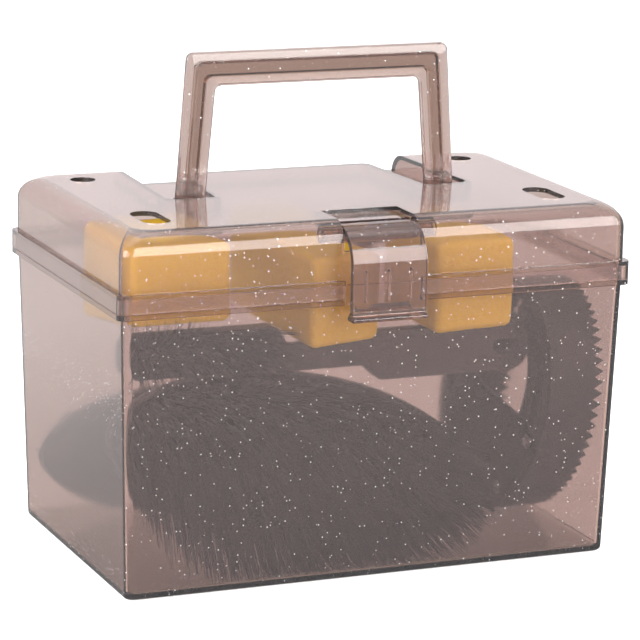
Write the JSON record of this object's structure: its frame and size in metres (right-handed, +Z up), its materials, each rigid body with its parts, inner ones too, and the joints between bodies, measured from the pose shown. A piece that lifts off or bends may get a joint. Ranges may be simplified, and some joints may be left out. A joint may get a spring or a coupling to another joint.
{
  "type": "grooming tool box",
  "caption": "Clear lidded carry box with folding handle, front latch and rear hinges, packed with brushes, a curry comb and sponges.",
  "frame": {"origin": "centre of the tub's underside, on the surface it stands on", "axes": "+X to the right seen from the front, +Y to the back towards the hinges, +Z up; the latch is at -Y"},
  "size_m": [0.251, 0.1771, 0.2341],
  "materials": {
    "clear_plastic": "tinted see-through glitter plastic, glossy",
    "dark_plastic": "dark moulded plastic, satin",
    "bristle": "dark stiff synthetic bristle",
    "webbing": "dark woven webbing",
    "stud": "bright plated steel",
    "sponge": "yellow open-cell foam"
  },
  "bodies": {
    "tub": {"tub": "clear_plastic", "oval_brush_stock": "dark_plastic", "oval_brush_cover": "dark_plastic", "oval_brush_bristles": "bristle", "face_brush_stock": "dark_plastic", "face_brush_cover": "dark_plastic", "face_brush_bristles": "bristle", "handled_brush_body": "dark_plastic", "handled_brush_bristles": "bristle", "curry_comb": "dark_plastic", "curry_comb_strap": "webbing", "curry_comb_studs": "stud", "sponge_left": "sponge", "sponge_middle": "sponge", "sponge_right": "sponge"},
    "lid": {"lid": "clear_plastic"},
    "handle": {"handle": "clear_plastic"},
    "latch": {"latch": "clear_plastic"}
  },
  "joints": [
    {"name": "lid_hinge", "type": "hinge", "parent": "tub", "child": "lid", "pos_m": [0, 0.0845, 0.1312], "axis": [-1, 0, 0], "range_deg": [0, 110]},
    {"name": "handle_pivot", "type": "hinge", "parent": "lid", "child": "handle", "pos_m": [0, 0.00165, 0.1631], "axis": [-1, 0, 0], "range_deg": [0, 90]},
    {"name": "latch_pivot", "type": "hinge", "parent": "lid", "child": "latch", "pos_m": [0, -0.07012, 0.161], "axis": [-1, 0, 0], "range_deg": [0, 100]}
  ]
}
